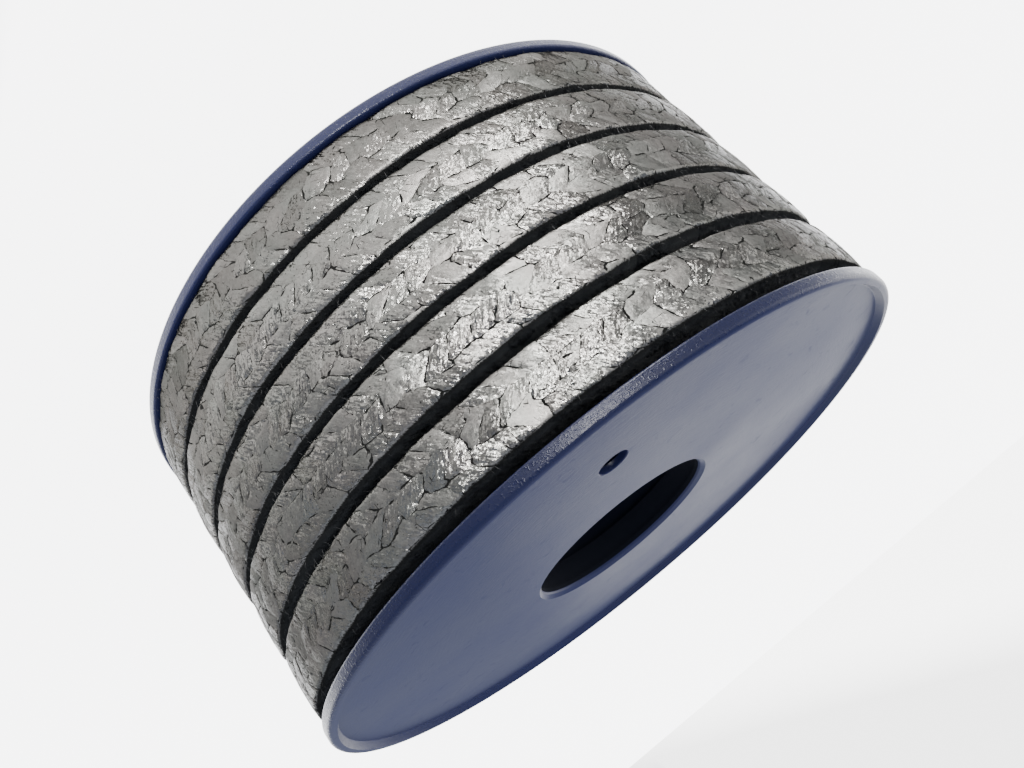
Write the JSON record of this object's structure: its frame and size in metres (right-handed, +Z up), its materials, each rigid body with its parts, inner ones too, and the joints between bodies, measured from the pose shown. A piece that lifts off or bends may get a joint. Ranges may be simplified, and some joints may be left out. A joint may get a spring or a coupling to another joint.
{
  "type": "spool of braided gland packing",
  "caption": "Length of square braided graphite packing wound side by side on a two-flange plastic spool with a central bore.",
  "frame": {"origin": "centre of the ring that the lower flange stands on", "axes": "+Z up along the spool's axis, -Y towards the camera of the picture, +X to the right of it"},
  "size_m": [0.2, 0.2, 0.101],
  "materials": {
    "flange_plastic": "satin blue moulded plastic",
    "core_plastic": "dark moulded plastic in the shade of the bore",
    "graphite_braid": "pressed silver-grey graphite foil yarn"
  },
  "bodies": {
    "root": {"upper_flange": "flange_plastic", "lower_flange": "flange_plastic", "core_tube": "core_plastic", "packing": "graphite_braid"}
  },
  "joints": []
}
